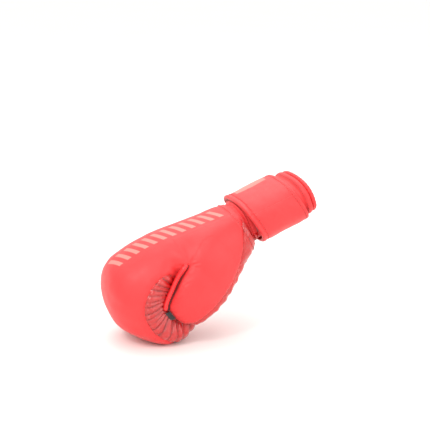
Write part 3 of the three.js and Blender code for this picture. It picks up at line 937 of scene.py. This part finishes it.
s = np.linspace(CUFF_START, CUFF_END, 70)
base = cuff_level(s)[:, None]
round_end = 1.6 * (1 - np.sqrt(1 - np.clip((s - CUFF_END + 3) / 3, 0, 1) ** 2 + 1e-9))[:, None]
wave = 0.35 * rippled(sleeve(s, turn_all, base), 24, 21)
puff = 0.7 * np.sin(pi * np.clip((s - 71) / 9, 0, 1))[:, None]
obj = cuff_piece("cuff_leather", s, base + wave + puff - round_end, base - CUFF_WALL + 1.3, MATTE,
                 ["cuff_cover", "cuff_foam"])
s = np.linspace(CUFF_START - 0.5, CUFF_END + 0.5, 50)
base = cuff_level(s)[:, None] - CUFF_WALL
wave = 0.3 * rippled(sleeve(s, turn_all, base), 15, 22)
cuff_piece("cuff_cloth", s, base + CLOTH_THICK + wave, base + wave, CLOTH, ["cuff_lining"])

# binding round the cuff's mouth
angles = section_angles(*SLIT_SPAN, 260)
y, z = ring(angles, MOUTH_LEVEL - CUFF_WALL / 2)
path = np.stack([np.full(len(angles), CUFF_END + 3.2), y, z], 1)
out = unit(path * [0, 1, 1])
a = np.arange(BINDING_SIDES) * 2 * pi / BINDING_SIDES
puckers = 1 + 0.05 * np.sin(np.arange(len(angles)) * 0.9) + 0.04 * ripple(path, 8, 23)
rings = path[:, None] + (3.75 * np.cos(a))[None, :, None] * out[:, None] * puckers[:, None, None]
rings[..., 0] += 2.9 * np.sin(a) * puckers[:, None]
closed = sheet_quads(len(angles), BINDING_SIDES, True)
end_ring = (len(angles) - 1) * BINDING_SIDES
caps = [tuple(range(BINDING_SIDES)), tuple(end_ring + i for i in reversed(range(BINDING_SIDES)))]
obj = make("cuff_edge_roll", from_cuff(rings.reshape(-1, 3)), [tuple(q) for q in closed[:, ::-1]] + caps,
           MATTE)
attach(obj, "cuff")
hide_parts("cuff_binding")

# ---- neck, its shape bent at the wrist ----
s = np.linspace(-17.5, CUFF_START + 2.5, 60)
angles = section_angles(270, 630, 200)[:-1]
mid = np.minimum(s, 0) * np.tan(DROOP)
ribs = (0.5 - 1.5 * bell(s + 5.5, 0.9) - 1.3 * bell(s + 1.5, 0.8) + 0.7 * bell(s + 3.5, 1.4))[:, None]
grow = (CUFF_HIGH - 1.4 * smooth(s, -12, 6))[:, None]


def neck_grid(level):
    """Grid of points in the cuff's axes at a level, which stands up over the palm and the back."""
    ss, aa = np.meshgrid(s, angles, indexing="ij")
    c, sn = np.cos(np.radians(aa)), np.sin(np.radians(aa))
    level = level + 2.3 * smooth(np.abs(sn), 0.1, 0.8) * smooth(ss, -9, -3) * (1 - smooth(ss, 3, 7))
    wide = (level + 12.2) * np.sign(c) * np.abs(c) ** 0.8
    high = level * np.sign(sn) * np.abs(sn) ** 0.8
    return np.stack([ss, wide, high + mid[:, None]], -1)


wave = 0.35 * ripple(neck_grid(grow).reshape(-1, 3), 12, 31).reshape(len(s), -1)
v, f = shell(neck_grid(grow + ribs + wave), neck_grid(grow - 2), True)
obj = make("neck_leather", from_cuff(v), f, MATTE)
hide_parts("neck_band")
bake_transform(obj)
# a ribbed gusset on part of the neck
part = slice(14, 52), slice(int(len(angles) * 0.80), int(len(angles) * 0.92))
pick = neck_grid(grow + ribs + wave)[part]
out_by = neck_grid(grow + ribs + wave + 1)[part] - pick
lines = 0.45 + 0.55 * np.abs(np.sin(np.arange(pick.shape[1]) * pi / 2.6))[None, :, None]
number = np.arange(pick.shape[0])
rim = np.minimum(1, 0.3 + np.minimum(number, number[::-1]) / 5)[:, None, None]
v, f = shell(pick + out_by * lines * 2.2 * rim, pick - out_by * 0.4)
obj = make("neck_gusset", from_cuff(v), f, PATENT)
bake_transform(obj)

# ---- strap ----
STRAP_IN = CUFF_HIGH + STRAP_OFF


def skewed(grid):
    """The strap runs a little forward over the back of the wrist."""
    grid = grid.copy()
    grid[..., 0] -= STRAP_SKEW * smooth(grid[..., 2], -30, 30)
    return grid


def strap_height(s):
    """The strap's outer face along its width: a rolled front hem, a flat field and a sewn rear hem."""
    d = s - STRAP_START
    roll = 1.1 * np.sqrt(np.clip(1 - ((d - 2.7) / 2.7) ** 2, 0, 1))
    groove = -0.55 * bell(d - 6.3, 0.7) - 0.4 * bell(d - (STRAP_WIDTH - 5), 0.6)
    field = 0.5 * smooth(d, 6, 14) * (1 - smooth(d, STRAP_WIDTH - 14, STRAP_WIDTH - 5))
    edge = -1.5 * (1 - np.sqrt(np.clip(1 - ((d - STRAP_WIDTH + 1.6) / 1.6).clip(0, 1) ** 2, 0, 1)))
    front = -1.5 * (1 - np.sqrt(np.clip(1 - ((1.6 - d) / 1.6).clip(0, 1) ** 2, 0, 1)))
    return roll + groove + field + edge + front


def strap_piece(name, span, round_start, round_end, nodes):
    """One leather of the strap, between two angles. Its mesh is finer along the two hems."""
    across_strap = [np.linspace(0, 8, 26), np.linspace(8, 58, 34), np.linspace(58, STRAP_WIDTH, 20)]
    s = STRAP_START + np.unique(np.concatenate(across_strap))
    length = (span[1] - span[0]) * 1.05
    angles = section_angles(*span, int(length / 1.2))
    y, z = ring(angles, STRAP_IN)
    arc = np.concatenate([[0], np.cumsum(np.hypot(np.diff(y), np.diff(z)))])
    grid = sleeve(s, angles, STRAP_IN)
    wave = 0.45 * rippled(grid, 34, 41) + 0.12 * rippled(grid, 9, 42)
    outer = STRAP_IN + STRAP_THICK + strap_height(s)[:, None] + wave * smooth(s, 8, 20)[:, None]
    for do, d in ((round_start, arc), (round_end, arc[-1] - arc)):
        if do:
            outer = outer - 2.4 * (1 - np.sqrt(1 - ((2.4 - d) / 2.4).clip(0, 1) ** 2))[None, :]
    v, f = shell(skewed(sleeve(s, angles, outer)), skewed(sleeve(s, angles, STRAP_IN)))
    # the flat map covers the back of the wrist, and the rest lies off its marks
    over = np.where((angles > 30) & (angles < 125), y, -99)
    flat = np.stack(np.meshgrid(s - STRAP_START, over, indexing="ij"), -1).reshape(-1, 2)
    flat = np.concatenate([flat] * 2)
    obj = make(name, from_cuff(v), f, MATTE_STRAP, flat)
    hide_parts(*nodes)
    return obj


def seam(name, span, s, level, skew=True):
    """A row of stitches along the section at one place along the cuff."""
    angles = section_angles(*span, 300)
    path = sleeve([s], angles, level)[0]
    out_by = np.array(ring(angles, level + 1)) - np.array(ring(angles, level))
    facing = unit(np.stack([np.zeros(len(angles)), *out_by], 1))
    v, f = stitches(skewed(path) if skew else path, facing)
    obj = make(name, from_cuff(v), f, THREAD)
    return obj


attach(seam("cuff_thread", (275, 625), 73.2, 24.9, False), "cuff")

obj = strap_piece("strap_side_leather", (SPLIT, ROOT[1]), False, True, ["strap_root", "strap_side_panel"])
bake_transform(obj)
HEMS = (("front", STRAP_START + 7.6), ("rear", STRAP_START + STRAP_WIDTH - 4.2))
for place, s in HEMS:
    level = STRAP_IN + STRAP_THICK + float(strap_height(np.array([s]))[0]) + 0.1
    obj = seam("strap_side_thread_" + place, (SPLIT, ROOT[1] - 4), s, level)
    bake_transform(obj)
    obj = seam("strap_tip_thread_" + place, (TIP[0] + 5, SPLIT), s, level)
    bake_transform(obj)
obj = strap_piece("strap_tip_leather", (TIP[0], SPLIT), True, False, ["strap_tip_panel"])
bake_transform(obj)

# hook and loop tape
for name, body, span, level in (("hook_patch", "strap_tip", (30, 122), STRAP_IN - PATCH - GAP),
                                ("loop_patch", "cuff", (26, 128), CUFF_HIGH + GAP)):
    angles = section_angles(*span, 90)
    s = np.linspace(STRAP_START + 6, STRAP_START + STRAP_WIDTH - 6, 60)
    fuzz = 0.1 * rippled(sleeve(s, angles, level), 2.2, 51)
    outer = sleeve(s, angles, level + PATCH + 0.15 * fuzz)
    v, f = shell(skewed(outer), skewed(sleeve(s, angles, level + fuzz)))
    obj = make(name.replace("patch", "tape"), from_cuff(v), f, LOOP)
    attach(obj, body)
    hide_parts(name)

# CAD nodes that stay, in better materials
for name, material in (("grip_bar", CLOTH), ("thumb_lining", CLOTH), ("strap_tack", MATTE)):
    node = frame["nodes"][name]
    node.data.materials.clear()
    node.data.materials.append(material)

# ---- floor, light and camera ----
PALE, PALE_DARK = linear(240, 236, 233), linear(237, 233, 230)
floor_mat = Shader("floor", PALE, 0.6)
floor_mat = floor_mat.finish(floor_mat.mix(floor_mat.noise(3, 2), PALE, PALE_DARK))
bpy.ops.mesh.primitive_plane_add(size=60, location=(0, 0, -0.0002))
floor = bpy.context.object
floor.name = "floor"
floor.data.materials.append(floor_mat)

world = bpy.data.worlds.new("studio")
bpy.context.scene.world = world
world.use_nodes = True
sky = world.node_tree
nodes, links = sky.nodes, sky.links
split = nodes.new("ShaderNodeSeparateXYZ")
links.new(nodes.new("ShaderNodeTexCoord").outputs["Generated"], split.inputs[0])
rise = nodes.new("ShaderNodeMapRange")
links.new(split.outputs["Z"], rise.inputs["Value"])
for key, v in (("From Min", 0.05), ("From Max", 0.75), ("To Min", 0.95), ("To Max", 1.32)):
    rise.inputs[key].default_value = v
nodes["Background"].inputs["Color"].default_value = (1.0, 0.985, 0.975, 1)
links.new(rise.outputs["Result"], nodes["Background"].inputs["Strength"])


def area(name, location, target, size, power, colour=(1, 1, 1)):
    """A round area light, in metres and watts, that faces the target."""
    light = bpy.data.lights.new(name, "AREA")
    light.shape, light.size, light.energy, light.color = "DISK", size, power, colour
    lamp = bpy.data.objects.new(name, light)
    bpy.context.scene.collection.objects.link(lamp)
    lamp.location = location
    lamp.rotation_euler = (Vector(target) - Vector(location)).to_track_quat("-Z", "Y").to_euler()


area("key", (-1.0, -1.3, 1.7), (0, 0, 0.08), 1.6, 15, (1, 0.98, 0.96))
area("fill", (1.4, -1.7, 0.9), (0, 0, 0.1), 1.6, 14, (1, 0.97, 0.95))
area("glint", (-1.1, -0.9, 1.5), (0, 0, 0.1), 0.32, 7)
area("top", (0.1, 0.7, 1.8), (0, 0, 0.1), 1.6, 12)

AZIMUTH, ELEVATION, DISTANCE = radians(-20), radians(15), 1.275
view_from = np.array([sin(AZIMUTH) * cos(ELEVATION), -cos(AZIMUTH) * cos(ELEVATION), sin(ELEVATION)])
right = np.array([cos(AZIMUTH), sin(AZIMUTH), 0])
up = np.cross(view_from, right)
aim = np.array([0, 0, 0.085]) + right * 0.0087 + up * 0.0634
camera = bpy.data.objects.new("camera", bpy.data.cameras.new("camera"))
bpy.context.scene.collection.objects.link(camera)
bpy.context.scene.camera = camera
camera.data.lens = 85
camera.data.sensor_width = 36
camera.location = aim + view_from * DISTANCE
camera.rotation_euler = Vector(tuple(-view_from)).to_track_quat("-Z", "Y").to_euler()
bpy.context.scene.view_settings.view_transform = "Standard"
